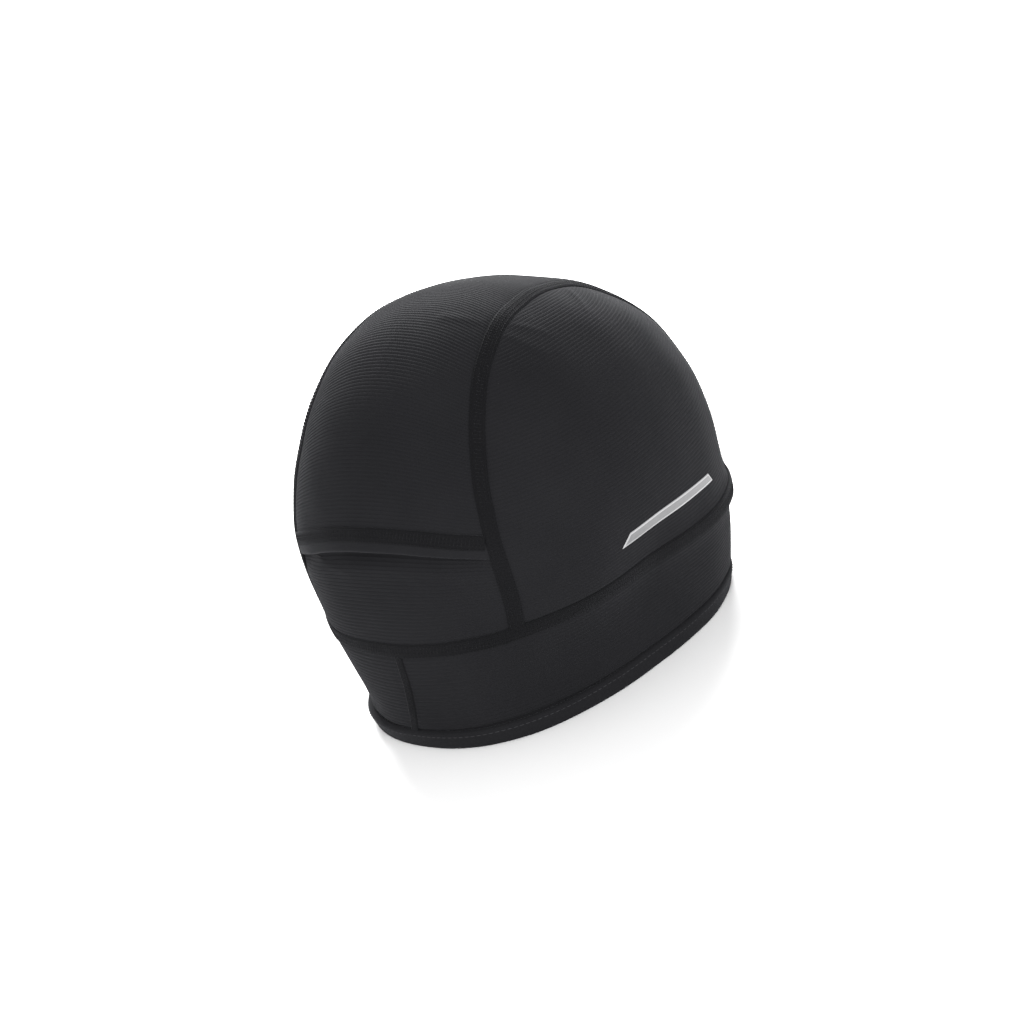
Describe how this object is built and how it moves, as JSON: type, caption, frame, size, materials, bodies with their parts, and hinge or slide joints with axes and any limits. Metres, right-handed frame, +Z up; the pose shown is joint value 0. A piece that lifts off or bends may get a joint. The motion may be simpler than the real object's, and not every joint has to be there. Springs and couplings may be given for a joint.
{
  "type": "fleece beanie",
  "caption": "Close-fitting ribbed black fleece beanie with a tall headband, flat seams, a slot under a turned hem at the back and a pale reflective bar.",
  "frame": {"origin": "centre of the bounding box's footprint, on the plane of the rim's underside", "axes": "+Z up through the crown, +Y towards the back of the head, -X the wearer's right side, which carries the reflective bar"},
  "size_m": [0.1572, 0.1958, 0.1673],
  "materials": {
    "cloth": "black stretch fleece with fine ribs that run across each panel, soft sheen",
    "seam": "flat coverstitched seam, a shade darker than the cloth",
    "hem": "smooth turned hem of the same black stretch cloth",
    "reflective": "matte pale grey reflective film"
  },
  "bodies": {
    "root": {"headband": "cloth", "crown_center_panel": "cloth", "lower_back_panel": "cloth", "side_panel_right": "cloth", "side_panel_left": "cloth", "band_back_seam": "seam", "band_seam": "seam", "crown_seam_right": "seam", "crown_seam_left": "seam", "rim_hem": "hem", "slot_hem": "hem", "reflective_strip": "reflective"}
  },
  "joints": []
}
